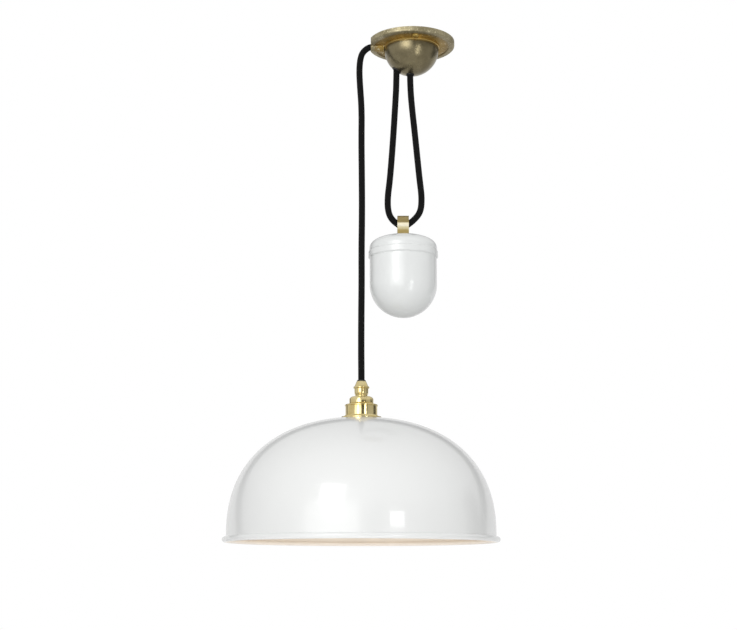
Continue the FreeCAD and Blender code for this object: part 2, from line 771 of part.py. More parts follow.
def grip_nut():
    """The tapered nut of the cord grip, down to its collar."""
    bead = 1.5
    return turned([
        (5.15, grip_top_z),
        (6.1, grip_top_z),
        (6.4, grip_top_z - 0.4),
        (8.9, grip_split_z + 2 * bead),
        (8.9, grip_split_z, 8.9 + bead, grip_split_z + bead),
        (6.6, grip_split_z),
        (6.6, grip_top_z - 6.1),
        (5.15, grip_top_z - 6.1),
    ], head_x)


def grip_body():
    """The lower half of the grip, waisted, with a threaded spigot into the cap."""
    low = cap_top_z
    return turned([
        (6.55, grip_split_z + 3.0),
        (6.55, grip_split_z),
        (9.0, grip_split_z),
        (9.0, grip_split_z - 4.4),
        (7.9, grip_split_z - 8.4, 8.7, grip_split_z - 6.7),
        (7.9, low),
        (spigot_r, low),
        (spigot_r, low - 5.0),
        (bore_r, low - 5.0),
        (bore_r, grip_split_z + 3.0),
    ], head_x)


def holder_cap():
    """The polished cap: a round shoulder, a short wall and a brim that seats on the skirt."""
    top = cap_top_z - 0.05
    return turned([
        (spigot_r + 0.05, top),
        (9.6, top),
        quarter(9.6, top, cap_r, top - 3.2),
        (cap_r, cap_bottom_z),
        (cap_r + 0.9, cap_bottom_z - 0.5),
        (skirt_r - 0.3, brim_z + 1.2),
        (skirt_r + brim_proud, brim_z + 0.1, skirt_r + brim_proud - 0.25, brim_z + 0.85),
        (skirt_r + brim_proud, brim_z - 0.4),
        (skirt_r + brim_proud - 0.5, brim_z - 0.9),
        (skirt_r - 0.7, brim_z - 0.9),
        (skirt_r - 0.7, brim_z + 0.1),
        (cap_r - metal, cap_bottom_z - 0.2),
        (cap_r - metal, top - 3.6),
        (9.6, top - metal, cap_r - 1.9, top - 1.9),
        (spigot_r + 0.05, top - metal),
    ], head_x)


def holder_skirt():
    """The skirt under the cap, and the neck that goes down through the shade."""
    top = brim_z - 0.95
    return turned([
        (skirt_r, top),
        (skirt_r, skirt_bottom_z),
        (neck_r, skirt_bottom_z),
        (neck_r, holder_bottom_z),
        (neck_r - neck_wall, holder_bottom_z),
        (neck_r - neck_wall, skirt_bottom_z + metal),
        (skirt_r - metal, skirt_bottom_z + metal),
        (skirt_r - metal, top),
    ], head_x)


def shade_ring():
    """The wide ring between the skirt and the top of the shade."""
    low = shade_top_z + 0.05
    return turned([
        (neck_r + seat_fit, skirt_bottom_z - 0.05),
        (skirt_r + 0.9, skirt_bottom_z - 0.05),
        (skirt_r + 1.3, skirt_bottom_z - 1.0),
        (ring_r - 0.5, low + ring_thick - 0.6),
        (ring_r, low + 0.4, ring_r, low + ring_thick - 1.2),
        (ring_r, low),
        (neck_r + seat_fit, low),
    ], head_x)


def retaining_nut():
    """The threaded ring inside the dome that pulls the shade up."""
    top = shade_top_z - shade_wall - 0.05
    low = top - nut_ring_h
    body = turned([
        (neck_r + seat_fit, top),
        (nut_ring_r, top),
        (nut_ring_r, low + 2.5),
        (nut_ring_r - 2.2, low),
        (neck_r + seat_fit, low),
    ], head_x)
    notch = block((-1.5, 1.5), (nut_ring_r - 1.4, nut_ring_r + 2), (low - 1, top + 1))
    notches = []
    for i in range(12):
        cut = notch.copy()
        cut.rotate(V(0, 0, 0), V(0, 0, 1), 30 * i)
        cut.translate(V(head_x, 0, 0))
        notches.append(cut)
    return body.cut(notches)


def shell_outer():
    return socket_r + socket_wall


def socket_top_z():
    """The floor of the lamp socket."""
    return holder_bottom_z + shell_inset + socket_length


def core_floor_z():
    """The core's floor, which the threaded shell stops against."""
    return socket_top_z() + 1.0


def socket_core():
    """The porcelain core that carries the threaded shell and, in a well, the centre contact."""
    outer = neck_r - neck_wall - seat_fit
    floor = core_floor_z()
    body = turned([
        (0, floor + 8.0),
        (outer - 3.0, floor + 8.0),
        (outer, floor + 5.0),
        (outer, holder_bottom_z + 0.3),
        (shell_outer() + 0.05, holder_bottom_z + 0.3),
        (shell_outer() + 0.05, floor),
        (0, floor),
    ], head_x)
    well = disc(socket_r - 3.5, floor + contact_well, floor - 1, head_x)
    holes = [disc(post_r + seat_fit, 0, floor - 1, head_x + side * post_x) for side in (-1, 1)]
    return body.cut([well] + holes)


def thread_shell():
    """The brass shell that the lamp's cap screws into."""
    return ring(shell_outer(), socket_r, core_floor_z() - 0.05, holder_bottom_z + shell_inset, head_x)


def centre_contact():
    """A sprung tongue in the well of the core, clear of the thread."""
    floor = core_floor_z() + contact_well
    leaf = block((head_x - 3.0, head_x + post_x), (-2.5, 2.5), (floor - 0.55, floor - 0.05))
    below = block((head_x - 9, head_x + 9), (-9, 9), (-far, floor - 0.5))
    tip = ball(4.5, (head_x, 0, floor + 2.4)).common(below)
    return leaf.fuse(tip)


def contact_posts():
    """The two brass posts that bring the current through the core."""
    floor = core_floor_z() + contact_well
    post = [disc(post_r, floor + 8.0, floor - 0.05, head_x + side * post_x) for side in (-1, 1)]
    return Part.makeCompound(post)


# ---------------------------------------------------------------- the pieces
keep("ceiling_plate", ceiling_plate())
keep("mounting_bar", mounting_bar())
keep("plate_screws", plate_screws())
keep("pulley_bowl", pulley_bowl())
keep("bowl_screws", Part.makeCompound([bowl_screw(a) for a in bowl_screw_angles]))
keep("left_grommet", grommet(fixed_fall_x))
keep("right_grommet", grommet(free_fall_x))
keep("outlet_bush", outlet_bush())
keep("pulley_bracket", pulley_bracket())
keep("bracket_screws", Part.makeCompound(mirrored(foot_screw(foot_screw_r - 0.05))))
keep("pulley_axle", pulley_axle())
keep("ceiling_pulley", wheel((pulley_x, pulley_z), pulley_cord_r, pulley_flange_r, pulley_width,
                             axle_r + pin_running))
keep("cord_anchor", cord_anchor())
keep("anchor_screw", anchor_screw())
keep("terminal_block", terminal_block())
keep("terminal_screws", Part.makeCompound([terminal_screw(i) for i in range(3)]))
for i, colour in enumerate(("live_core", "earth_core", "neutral_core")):
    keep(colour, core(i))
flex_nodes()

keep("weight_strap", weight_strap())
keep("roller_pin", roller_pin())
keep("strap_roller", strap_roller())
keep("strap_hanger", strap_hanger())
keep("draw_rod", draw_rod())
keep("rod_nuts", rod_nuts())
keep("weight_lid", weight_lid())
keep("weight_body", weight_body())
keep("ballast", ballast())

keep("grip_grommet", grip_grommet())
keep("grip_nut", grip_nut())
keep("grip_body", grip_body())
keep("holder_cap", holder_cap())
keep("holder_skirt", holder_skirt())
keep("shade_ring", shade_ring())
keep("retaining_nut", retaining_nut())
keep("shade", shade())
keep("rim_wire", rim_wire())
keep("socket_core", socket_core())
keep("thread_shell", thread_shell())
keep("centre_contact", centre_contact())
keep("contact_posts", contact_posts())

for name, shape in nodes.items():
    shape.exportStep("parts/%s.step" % name)
    box = shape.BoundBox
    print("%-16s solids %d valid %s volume %9.1f  x %7.1f %7.1f  y %7.1f %7.1f  z %7.1f %7.1f" % (
        name, len(shape.Solids), shape.isValid(), shape.Volume, box.XMin, box.XMax, box.YMin, box.YMax,
        box.ZMin, box.ZMax))
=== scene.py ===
import math

import bmesh
import bpy
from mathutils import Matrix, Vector


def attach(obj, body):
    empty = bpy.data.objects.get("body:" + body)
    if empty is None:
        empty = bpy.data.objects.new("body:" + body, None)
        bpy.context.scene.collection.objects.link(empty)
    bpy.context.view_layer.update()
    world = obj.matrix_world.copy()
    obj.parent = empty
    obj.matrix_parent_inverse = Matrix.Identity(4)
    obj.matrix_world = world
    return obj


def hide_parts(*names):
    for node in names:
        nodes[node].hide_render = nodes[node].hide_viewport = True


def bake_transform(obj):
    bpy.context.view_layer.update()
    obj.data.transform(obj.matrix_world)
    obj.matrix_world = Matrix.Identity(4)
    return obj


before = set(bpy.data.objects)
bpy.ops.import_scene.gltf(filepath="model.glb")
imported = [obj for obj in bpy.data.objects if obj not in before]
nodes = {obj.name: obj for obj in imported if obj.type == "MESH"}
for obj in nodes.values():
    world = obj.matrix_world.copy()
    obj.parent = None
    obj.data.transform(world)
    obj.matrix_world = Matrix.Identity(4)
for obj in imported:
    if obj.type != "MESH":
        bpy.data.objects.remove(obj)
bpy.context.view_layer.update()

mm = 0.001


# ---- Viewpoint. The pendant is seen from about 1.8 m away and a little below the shade's edge,
# with the lens tilted up so that the ceiling plate shows its underside.
tilt_up = 10.91
camera = bpy.data.objects.new("camera", bpy.data.cameras.new("camera"))
camera.data.sensor_width = 36.0
camera.data.lens = 68.0
camera.location = (-0.05807, -1.7771, -0.7171)
camera.rotation_euler = (math.radians(90 + tilt_up), 0, 0)
camera.data.dof.use_dof = False
bpy.context.scene.collection.objects.link(camera)
bpy.context.scene.camera = camera


# ---- Flex. One round three core flex in black braided cotton, 8.4 mm thick. It is clamped in the
# bowl, hangs down round the counterweight's roller, climbs over the pulley, leaves through the
# plate's outlet and drops to the lampholder. It is a smooth line that a tube follows.
flex_diameter = 8.4 * mm
flex_sides = 24
curve_order, steps_per_point = 3, 12
flex_route = [
    (-20.40, -29.30), (-20.50, -58.00), (-22.40, -90.00), (-24.60, -126.00), (-27.20, -162.00),
    (-29.90, -194.00), (-32.90, -217.00), (-32.40, -235.50), (-27.40, -247.00), (-15.10, -256.40),
    (-10.13, -256.40), (2.40, -247.00), (11.00, -235.50), (12.40, -216.00), (9.60, -192.00),
    (6.80, -162.00), (3.50, -126.00), (-0.70, -84.00), (-2.10, -58.00),
    (-2.10, -24.00),                       # straight up to the pulley, inside the bowl
    (-2.10, -11.37), (-7.37, -6.10),
    (-20.00, -6.10), (-47.00, -6.10),      # level from the pulley to the outlet
    (-57.00, -6.10), (-65.80, -13.20), (-69.30, -23.50), (-70.50, -40.00), (-69.50, -61.00),
    (-67.10, -95.00), (-67.50, -139.00), (-66.90, -189.00), (-66.60, -237.00), (-67.20, -285.00),
    (-67.00, -331.00), (-67.40, -377.00), (-67.50, -421.00), (-67.20, -452.00), (-67.20, -484.60),
]


def made_mesh(piece):
    """The mesh that an object's curve or modifiers make, without the object."""
    bpy.context.view_layer.update()
    graph = bpy.context.evaluated_depsgraph_get()
    mesh = bpy.data.meshes.new_from_object(piece.evaluated_get(graph))
    bpy.data.objects.remove(piece)
    return mesh


def smooth_line(points):
    """Points along the smooth curve that has these control points, as vectors in metres."""
    curve = bpy.data.curves.new("line", "CURVE")
    curve.dimensions = "3D"
    spline = curve.splines.new("NURBS")
    spline.points.add(len(points) - 1)
    for point, (x, z) in zip(spline.points, points):
        point.co = (x * mm, 0, z * mm, 1)
    spline.order_u = curve_order
    spline.use_endpoint_u = True
    spline.resolution_u = curve.resolution_u = steps_per_point
    holder = bpy.data.objects.new("line", curve)
    bpy.context.scene.collection.objects.link(holder)
    mesh = made_mesh(holder)
    line = [v.co.copy() for v in mesh.vertices]
    bpy.data.meshes.remove(mesh)
    return line


def put(name, mesh, *materials):
    """An object of that mesh in the scene, with its materials in order."""
    piece = bpy.data.objects.new(name, mesh)
    for material in materials:
        mesh.materials.append(material)
    bpy.context.scene.collection.objects.link(piece)
    return piece


def flex_tube(name, line, material):
    """A closed tube along a line in the plane y = 0. Its UV map goes once round for U, and for V it
    runs in metres along the flex."""
    across = Vector((0, 1, 0))
    points, faces, run = [], [], [0.0]
    for i, here in enumerate(line):
        before, after = line[max(i - 1, 0)], line[min(i + 1, len(line) - 1)]
        side = (after - before).normalized().cross(across)
        if i:
            run.append(run[-1] + (here - before).length)
        for k in range(flex_sides):
            turn = 2 * math.pi * k / flex_sides
            outward = side * math.cos(turn) + across * math.sin(turn)
            points.append(here + outward * flex_diameter / 2)
    for i in range(len(line) - 1):
        for k in range(flex_sides):
            a, b = i * flex_sides + k, i * flex_sides + (k + 1) % flex_sides
            faces.append((a, a + flex_sides, b + flex_sides, b))
    last = (len(line) - 1) * flex_sides
    faces.append(tuple(range(flex_sides)))
    faces.append(tuple(last + k for k in reversed(range(flex_sides))))
    mesh = bpy.data.meshes.new(name)
    mesh.from_pydata(points, [], faces)
    uv = mesh.uv_layers.new(name="along").data
    for face in mesh.polygons:
        ring_face = len(face.vertices) == 4
        at_seam = ring_face and any(v % flex_sides == flex_sides - 1 for v in face.vertices)
        for loop in face.loop_indices:
            vertex = mesh.loops[loop].vertex_index
            k = vertex % flex_sides
            if at_seam and k == 0:
                k = flex_sides
            uv[loop].uv = (k / flex_sides, run[vertex // flex_sides])
        face.use_smooth = ring_face
    mesh.validate()
    return put(name, mesh, material)


def linear(hex_colour):
    """A linear colour from an sRGB hex value."""
    parts = [int(hex_colour[i:i + 2], 16) / 255 for i in (1, 3, 5)]
    return (*(c / 12.92 if c <= 0.04045 else ((c + 0.055) / 1.055) ** 2.4 for c in parts), 1.0)


def material_tree(name):
    """A new material with nothing in it, and its tree."""
    material = bpy.data.materials.new(name)
    material.use_nodes = True
    material.node_tree.nodes.clear()
    return material, material.node_tree


def add(tree, kind, settings=None, inputs=None):
    """A node with its settings. An input is a value, or a socket to link from."""
    node = tree.nodes.new(kind)
    for key, value in (settings or {}).items():
        setattr(node, key, value)
    for key, value in (inputs or {}).items():
        if isinstance(value, bpy.types.NodeSocket):
            tree.links.new(value, node.inputs[key])
        else:
            node.inputs[key].default_value = value
    return node


# Braided cotton: 16 strands, eight each way, that go once round the flex in 16 mm, so a strand is
# about 1.7 mm wide. It is a dull black that goes slightly grey where light grazes the fibres. The
# fluff on it is drawn in 1 mm tufts, coarser than real, so that it shows.
braid, tree = material_tree("black_braided_cotton")
uv = add(tree, "ShaderNodeUVMap", {"uv_map": "along"})
strands_round, strand_pitch = 8, 16 * mm
waves = []
for lean in (1, -1):
    place = add(tree, "ShaderNodeMapping", {}, {
        "Vector": uv.outputs["UV"], "Scale": (strands_round, strands_round / strand_pitch, 1)})
    split = add(tree, "ShaderNodeSeparateXYZ", {}, {"Vector": place.outputs["Vector"]})
    slope = add(tree, "ShaderNodeMath", {"operation": "MULTIPLY"}, {0: split.outputs["Y"], 1: lean})
    both = add(tree, "ShaderNodeMath", {"operation": "ADD"}, {
        0: split.outputs["X"], 1: slope.outputs[0]})
    turn = add(tree, "ShaderNodeMath", {"operation": "MULTIPLY"}, {
        0: both.outputs[0], 1: 2 * math.pi})
    wave = add(tree, "ShaderNodeMath", {"operation": "SINE"}, {0: turn.outputs[0]})
    waves.append(wave)
over = add(tree, "ShaderNodeMath", {"operation": "MULTIPLY"}, {
    0: waves[0].outputs[0], 1: waves[1].outputs[0]})
height = add(tree, "ShaderNodeMapRange", {}, {
    "Value": over.outputs[0], "From Min": -1, "From Max": 1})
place = add(tree, "ShaderNodeTexCoord")
fluff = add(tree, "ShaderNodeTexNoise", {}, {
    "Vector": place.outputs["Object"], "Scale": 900, "Detail": 2})
# The strands' crowns are painted lighter and the gaps between them darker: painted shade in the
# braid's creases, over the black cotton.
painted_crease_shade = add(tree, "ShaderNodeValToRGB", {}, {"Fac": height.outputs["Result"]})
painted_crease_shade.color_ramp.elements[0].color = linear("#030303")
painted_crease_shade.color_ramp.elements[1].color = linear("#111111")
fluffy = add(tree, "ShaderNodeMix", {"data_type": "RGBA", "blend_type": "MULTIPLY"}, {
    "Factor": 0.35, "A": painted_crease_shade.outputs["Color"], "B": fluff.outputs["Color"]})
bump = add(tree, "ShaderNodeBump", {}, {
    "Strength": 0.7, "Distance": 0.0005, "Height": height.outputs["Result"]})
surface = add(tree, "ShaderNodeBsdfPrincipled", {}, {
    "Base Color": fluffy.outputs["Result"], "Roughness": 0.85, "Specular IOR Level": 0.2,
    "Sheen Weight": 0.03, "Sheen Roughness": 0.5, "Normal": bump.outputs["Normal"]})
add(tree, "ShaderNodeOutputMaterial", {}, {"Surface": surface.outputs["BSDF"]})

# The line is cut in two inside the plate's outlet: the loop that carries the counterweight, and the
# drop to the lampholder.
flex_line = smooth_line(flex_route)
outlet_x = -50 * mm
in_outlet = next(i for i, p in enumerate(flex_line) if p.x < outlet_x)
loop_line = flex_line[:in_outlet + 1]
drop_line = flex_line[in_outlet:]


loop_flex = flex_tube("loop_flex", loop_line, braid)
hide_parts("anchored_flex", "left_fall", "weight_bight", "right_fall", "pulley_flex")
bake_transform(loop_flex)

lamp_flex = flex_tube("lamp_flex", drop_line, braid)
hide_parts("drop_flex", "gripped_flex")
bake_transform(lamp_flex)


# ---- Ceiling plate. Sand cast brass, turned on its rim and left to dull: a pale champagne skin on
# the rim, with pale specks 2.4 mm wide, going to gold in the recess beside the bowl, and a darker
# ring at the rim's inner step, which is painted shade. It has dulled unevenly, in patches 18 mm
# wide.
weld = 0.002 * mm
copy_crease, turned_crease = math.radians(32), math.radians(35)


def fair_copy(name, material, body):
    """A smooth shaded copy of the node's solid that stands in its place."""
    source = nodes[name]
    mesh = bpy.data.meshes.new(name + "_skin")
    work = bmesh.new()
    work.from_mesh(source.data)
    bmesh.ops.remove_doubles(work, verts=work.verts, dist=weld)
    for face in work.faces:
        face.smooth = True
        face.material_index = 0
    for edge in work.edges:
        edge.smooth = len(edge.link_faces) == 2 and edge.calc_face_angle(0) < copy_crease
    work.to_mesh(mesh)
    work.free()
    piece = put(name + "_skin", mesh, material)
    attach(piece, body)
    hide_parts(name)
    return piece


cast_brass, tree = material_tree("tarnished_cast_brass")
place = add(tree, "ShaderNodeTexCoord")
split = add(tree, "ShaderNodeSeparateXYZ", {}, {"Vector": place.outputs["Object"]})
flat = add(tree, "ShaderNodeCombineXYZ", {}, {"X": split.outputs["X"], "Y": split.outputs["Y"]})
radius = add(tree, "ShaderNodeVectorMath", {"operation": "LENGTH"}, {0: flat.outputs["Vector"]})
patch = add(tree, "ShaderNodeTexNoise", {}, {
    "Vector": place.outputs["Object"], "Scale": 55, "Detail": 6, "Roughness": 0.65})
speck = add(tree, "ShaderNodeTexNoise", {}, {
    "Vector": place.outputs["Object"], "Scale": 420, "Detail": 4, "Roughness": 0.7})
by_radius = add(tree, "ShaderNodeMapRange", {}, {
    "Value": radius.outputs["Value"], "From Min": 36 * mm, "From Max": 58 * mm})
zones = add(tree, "ShaderNodeValToRGB", {}, {"Fac": by_radius.outputs["Result"]})
zones.color_ramp.elements[0].color = linear("#c8ab62")
zones.color_ramp.elements[1].color = linear("#b2a888")
# The darker stop at 0.62, where the rim steps down into the recess, is painted shade.
for place_on, hue in ((0.40, "#b89a58"), (0.62, "#a08c60"), (0.70, "#aca080")):
    zones.color_ramp.elements.new(place_on).color = linear(hue)
skin = add(tree, "ShaderNodeValToRGB", {}, {"Fac": patch.outputs["Fac"]})
skin.color_ramp.elements[0].position = 0.35
skin.color_ramp.elements[0].color = linear("#c4c0b4")
skin.color_ramp.elements[1].position = 0.68
skin.color_ramp.elements[1].color = linear("#ffffff")
aged = add(tree, "ShaderNodeMix", {"data_type": "RGBA", "blend_type": "MULTIPLY"}, {
    "Factor": 0.85, "A": zones.outputs["Color"], "B": skin.outputs["Color"]})
bright = add(tree, "ShaderNodeMapRange", {}, {
    "Value": speck.outputs["Fac"], "From Min": 0.56, "From Max": 0.66})
specked_skin = add(tree, "ShaderNodeMix", {"data_type": "RGBA"}, {
    "Factor": bright.outputs["Result"], "A": aged.outputs["Result"], "B": linear("#e2d8b4")})
rough = add(tree, "ShaderNodeMapRange", {}, {
    "Value": patch.outputs["Fac"], "From Min": 0.3, "From Max": 0.7, "To Min": 0.55,
    "To Max": 0.32})
bump = add(tree, "ShaderNodeBump", {}, {
    "Strength": 0.35, "Distance": 0.0003, "Height": speck.outputs["Fac"]})
surface = add(tree, "ShaderNodeBsdfPrincipled", {}, {
    "Base Color": specked_skin.outputs["Result"], "Metallic": 0.85, "Roughness": rough.outputs["Result"],
    "Normal": bump.outputs["Normal"]})
add(tree, "ShaderNodeOutputMaterial", {}, {"Surface": surface.outputs["BSDF"]})
fair_copy("ceiling_plate", cast_brass, "ceiling")


# ---- Small turned brass pieces: the plate's and terminals' screws, both wheels, the nut under the
# shade, and the lampholder's shell and contacts. Turned bar, left as it came off the lathe: a soft
# yellow shine with a faint mottle 4 mm wide.
turned_brass, tree = material_tree("turned_brass")
place = add(tree, "ShaderNodeTexCoord")
grain = add(tree, "ShaderNodeTexNoise", {}, {
    "Vector": place.outputs["Object"], "Scale": 260, "Detail": 3})
tone = add(tree, "ShaderNodeValToRGB", {}, {"Fac": grain.outputs["Fac"]})
tone.color_ramp.elements[0].color = linear("#a5873f")
tone.color_ramp.elements[1].color = linear("#d3b469")
bump = add(tree, "ShaderNodeBump", {}, {
    "Strength": 0.15, "Distance": 0.0001, "Height": grain.outputs["Fac"]})
surface = add(tree, "ShaderNodeBsdfPrincipled", {}, {
    "Base Color": tone.outputs["Color"], "Metallic": 1.0, "Roughness": 0.3,
    "Normal": bump.outputs["Normal"]})
add(tree, "ShaderNodeOutputMaterial", {}, {"Surface": surface.outputs["BSDF"]})
for name, body in (("plate_screws", "ceiling"), ("ceiling_pulley", "ceiling_pulley"),
                   ("strap_roller", "strap_roller"), ("retaining_nut", "shade"),
                   ("thread_shell", "shade")):
    fair_copy(name, turned_brass, body)


def finish_node(material, *names):
    """Gives a node that stays as it is its material."""
    for name in names:
        mesh = nodes[name].data
        mesh.materials.clear()
        mesh.materials.append(material)


finish_node(turned_brass, "terminal_screws", "centre_contact", "contact_posts")


# ---- Steel parts. The mounting bar, bracket, axle, anchor, small screws, the counterweight's rod
# and hanger and the wire in the shade's edge are zinc plated: a cool grey, with a faint spangle
# 3 mm wide from the plating.
zinc, tree = material_tree("zinc_plated_steel")
place = add(tree, "ShaderNodeTexCoord")
spangle = add(tree, "ShaderNodeTexVoronoi", {}, {"Vector": place.outputs["Object"], "Scale": 320})
tone = add(tree, "ShaderNodeValToRGB", {}, {"Fac": spangle.outputs["Distance"]})
tone.color_ramp.elements[0].color = linear("#a9adb2")
tone.color_ramp.elements[1].color = linear("#c6c9cc")
surface = add(tree, "ShaderNodeBsdfPrincipled", {}, {
    "Base Color": tone.outputs["Color"], "Metallic": 1.0, "Roughness": 0.38})
add(tree, "ShaderNodeOutputMaterial", {}, {"Surface": surface.outputs["BSDF"]})
finish_node(zinc, "mounting_bar", "pulley_bracket", "bracket_screws", "pulley_axle",
            "cord_anchor", "anchor_screw", "bowl_screws", "roller_pin", "strap_hanger",
            "draw_rod", "rod_nuts", "rim_wire")


# ---- Pulley bowl. Spun brass under satin lacquer, darkened to a grey olive in clouds 26 mm wide,
# with a bright gold band round its collar that is a painted highlight, and pores 2 mm apart that
# blur what it mirrors. It slips over the plate's spigot and hides the pulley.
bowl_brass, tree = material_tree("lacquered_dark_brass")
place = add(tree, "ShaderNodeTexCoord")
cloud = add(tree, "ShaderNodeTexNoise", {}, {
    "Vector": place.outputs["Object"], "Scale": 38, "Detail": 5, "Roughness": 0.6})
pores = add(tree, "ShaderNodeTexNoise", {}, {
    "Vector": place.outputs["Object"], "Scale": 500, "Detail": 3})
tone = add(tree, "ShaderNodeValToRGB", {}, {"Fac": cloud.outputs["Fac"]})
tone.color_ramp.elements[0].position = 0.3
tone.color_ramp.elements[0].color = linear("#6f6549")
tone.color_ramp.elements[1].position = 0.72
tone.color_ramp.elements[1].color = linear("#9a8f70")
level = add(tree, "ShaderNodeSeparateXYZ", {}, {"Vector": place.outputs["Object"]})
# The gold band round the top of the collar is a painted highlight on the fillet there.
collar_highlight = add(tree, "ShaderNodeMapRange", {}, {
    "Value": level.outputs["Z"], "From Min": -11.5 * mm, "From Max": -8.5 * mm})
highlight_tinted = add(tree, "ShaderNodeMix", {"data_type": "RGBA"}, {
    "Factor": collar_highlight.outputs["Result"], "A": tone.outputs["Color"], "B": linear("#c8ab64")})
rough = add(tree, "ShaderNodeMapRange", {}, {
    "Value": cloud.outputs["Fac"], "From Min": 0.3, "From Max": 0.7, "To Min": 0.34,
    "To Max": 0.24})
bump = add(tree, "ShaderNodeBump", {}, {
    "Strength": 0.3, "Distance": 0.0002, "Height": pores.outputs["Fac"]})
surface = add(tree, "ShaderNodeBsdfPrincipled", {}, {
    "Base Color": highlight_tinted.outputs["Result"], "Metallic": 0.9, "Roughness": rough.outputs["Result"],
    "Coat Weight": 0.2, "Coat Roughness": 0.3, "Normal": bump.outputs["Normal"]})
add(tree, "ShaderNodeOutputMaterial", {}, {"Surface": surface.outputs["BSDF"]})
fair_copy("pulley_bowl", bowl_brass, "ceiling")


# ---- Rubber bushes where the flex leaves the bowl and the plate, and the insert at the mouth of
# the cord grip. Moulded black rubber, matt, with a light bloom in spots 4 mm wide.
rubber, tree = material_tree("moulded_black_rubber")
place = add(tree, "ShaderNodeTexCoord")
bloom = add(tree, "ShaderNodeTexNoise", {}, {
    "Vector": place.outputs["Object"], "Scale": 240, "Detail": 3})
tone = add(tree, "ShaderNodeValToRGB", {}, {"Fac": bloom.outputs["Fac"]})
tone.color_ramp.elements[0].color = linear("#101010")
tone.color_ramp.elements[1].color = linear("#242425")
surface = add(tree, "ShaderNodeBsdfPrincipled", {}, {
    "Base Color": tone.outputs["Color"], "Roughness": 0.55})
add(tree, "ShaderNodeOutputMaterial", {}, {"Surface": surface.outputs["BSDF"]})
for name, body in (("left_grommet", "ceiling"), ("right_grommet", "ceiling"),
                   ("outlet_bush", "ceiling"), ("grip_grommet", "shade")):
    fair_copy(name, rubber, body)


# ---- Terminals. A moulded nylon block on the bracket, off white with a dull sheen, and three cores
# in coloured PVC insulation, a little shinier. Both are very slightly mottled, 3 and 2 mm wide.
nylon, tree = material_tree("moulded_nylon")
place = add(tree, "ShaderNodeTexCoord")
mottle = add(tree, "ShaderNodeTexNoise", {}, {"Vector": place.outputs["Object"], "Scale": 300})
tone = add(tree, "ShaderNodeValToRGB", {}, {"Fac": mottle.outputs["Fac"]})
tone.color_ramp.elements[0].color = linear("#dedbd0")
tone.color_ramp.elements[1].color = linear("#eeece4")
surface = add(tree, "ShaderNodeBsdfPrincipled", {}, {
    "Base Color": tone.outputs["Color"], "Roughness": 0.45})
add(tree, "ShaderNodeOutputMaterial", {}, {"Surface": surface.outputs["BSDF"]})
finish_node(nylon, "terminal_block")

for name, slot, dark, pale in (("live_core", "core_brown", "#4b2410", "#6b3a1e"),
                               ("earth_core", "core_green", "#2c6a22", "#4b8a36"),
                               ("neutral_core", "core_blue", "#123a7a", "#2a56a0")):
    insulation, tree = material_tree(name + "_pvc_insulation")
    place = add(tree, "ShaderNodeTexCoord")
    mottle = add(tree, "ShaderNodeTexNoise", {}, {"Vector": place.outputs["Object"], "Scale": 500})
    tone = add(tree, "ShaderNodeValToRGB", {}, {"Fac": mottle.outputs["Fac"]})
    tone.color_ramp.elements[0].color = linear(dark)
    tone.color_ramp.elements[1].color = linear(pale)
    surface = add(tree, "ShaderNodeBsdfPrincipled", {}, {
        "Base Color": tone.outputs["Color"], "Roughness": 0.4})
    add(tree, "ShaderNodeOutputMaterial", {}, {"Surface": surface.outputs["BSDF"]})
    fair_copy(name, insulation, "ceiling")


# ---- Strap. A brass band bent over the roller, brushed across its width in lines 25 mm long and
# 1.1 mm apart, coarser than real so that they show. Its colour holds painted light in level bands:
# painted shade where it bends over the top, a painted highlight on its front below the bend, and
# tan again down at the lid.
brushed, tree = material_tree("brushed_brass_strap")
place = add(tree, "ShaderNodeTexCoord")
stretch = add(tree, "ShaderNodeMapping", {}, {
    "Vector": place.outputs["Object"], "Scale": (40, 900, 900)})
lines = add(tree, "ShaderNodeTexNoise", {}, {
    "Vector": stretch.outputs["Vector"], "Scale": 1.0, "Detail": 4, "Roughness": 0.6})
level = add(tree, "ShaderNodeSeparateXYZ", {}, {"Vector": place.outputs["Object"]})
# Painted light by height: painted shade over the bend, a painted highlight band on the front below
# it, then tan down to the lid.
by_height = add(tree, "ShaderNodeMapRange", {}, {
    "Value": level.outputs["Z"], "From Min": -242 * mm, "From Max": -268 * mm})
painted_light_bands = add(tree, "ShaderNodeValToRGB", {}, {"Fac": by_height.outputs["Result"]})
painted_light_bands.color_ramp.elements[0].color = linear("#a3936a")
painted_light_bands.color_ramp.elements[1].color = linear("#a3905c")
for place_on, hue in ((0.36, "#9b8b5e"), (0.43, "#fff6d8"), (0.55, "#fffae6"),
                      (0.62, "#e0d6ae"), (0.70, "#d6caa0"), (0.78, "#b5a26c")):
    painted_light_bands.color_ramp.elements.new(place_on).color = linear(hue)
tone = add(tree, "ShaderNodeValToRGB", {}, {"Fac": lines.outputs["Fac"]})
tone.color_ramp.elements[0].position = 0.3
tone.color_ramp.elements[0].color = linear("#e0ddd4")
tone.color_ramp.elements[1].position = 0.7
tone.color_ramp.elements[1].color = linear("#ffffff")
brushed_and_lit = add(tree, "ShaderNodeMix", {"data_type": "RGBA", "blend_type": "MULTIPLY"}, {
    "Factor": 1.0, "A": painted_light_bands.outputs["Color"], "B": tone.outputs["Color"]})
bump = add(tree, "ShaderNodeBump", {}, {
    "Strength": 0.3, "Distance": 0.0001, "Height": lines.outputs["Fac"]})
surface = add(tree, "ShaderNodeBsdfPrincipled", {}, {
    "Base Color": brushed_and_lit.outputs["Result"], "Metallic": 1.0, "Roughness": 0.34,
    "Normal": bump.outputs["Normal"]})
add(tree, "ShaderNodeOutputMaterial", {}, {"Surface": surface.outputs["BSDF"]})
fair_copy("weight_strap", brushed, "counterweight")


# ---- Counterweight. A spun steel can with a domed lid that holds a cast iron slug. The lid's
# beaded band hides the joint. Both are sprayed in white gloss paint: it mirrors the windows softly,
# over an orange peel drawn 6 mm wide, coarser than real, so that it shows.
on_axis = 1e-6


